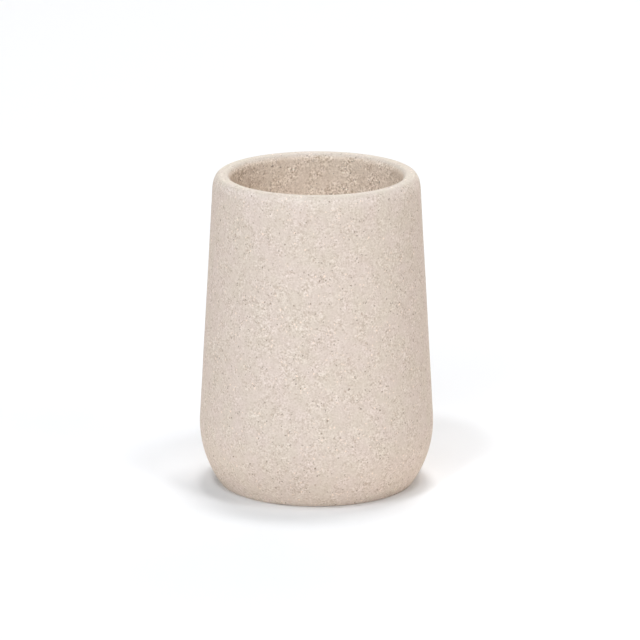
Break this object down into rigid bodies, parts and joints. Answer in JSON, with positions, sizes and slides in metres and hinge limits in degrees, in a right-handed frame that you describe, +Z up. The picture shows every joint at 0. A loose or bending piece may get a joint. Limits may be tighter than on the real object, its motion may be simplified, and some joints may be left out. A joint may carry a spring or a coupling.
{
  "type": "toothbrush tumbler",
  "caption": "Open round tumbler in speckled sandstone-look resin that holds toothbrushes: rounded belly, side leaning in to a soft thick rim, plain bore, recessed foam foot.",
  "frame": {"origin": "middle of the foot pad's underside, on the surface that the tumbler stands on", "axes": "+Z up along the axis of turning, through the open mouth; +Y is the far side in the picture"},
  "size_m": [0.0816, 0.0816, 0.1102],
  "materials": {
    "sandstone_resin": "matte, cast with fine dark and pale grit",
    "eva_foam": "matt closed-cell foam sheet, die-cut",
    "adhesive_tape": "milky double-sided tape"
  },
  "bodies": {
    "root": {"tumbler_body": "sandstone_resin", "foot_pad": "eva_foam", "pad_tape": "adhesive_tape"}
  },
  "joints": []
}
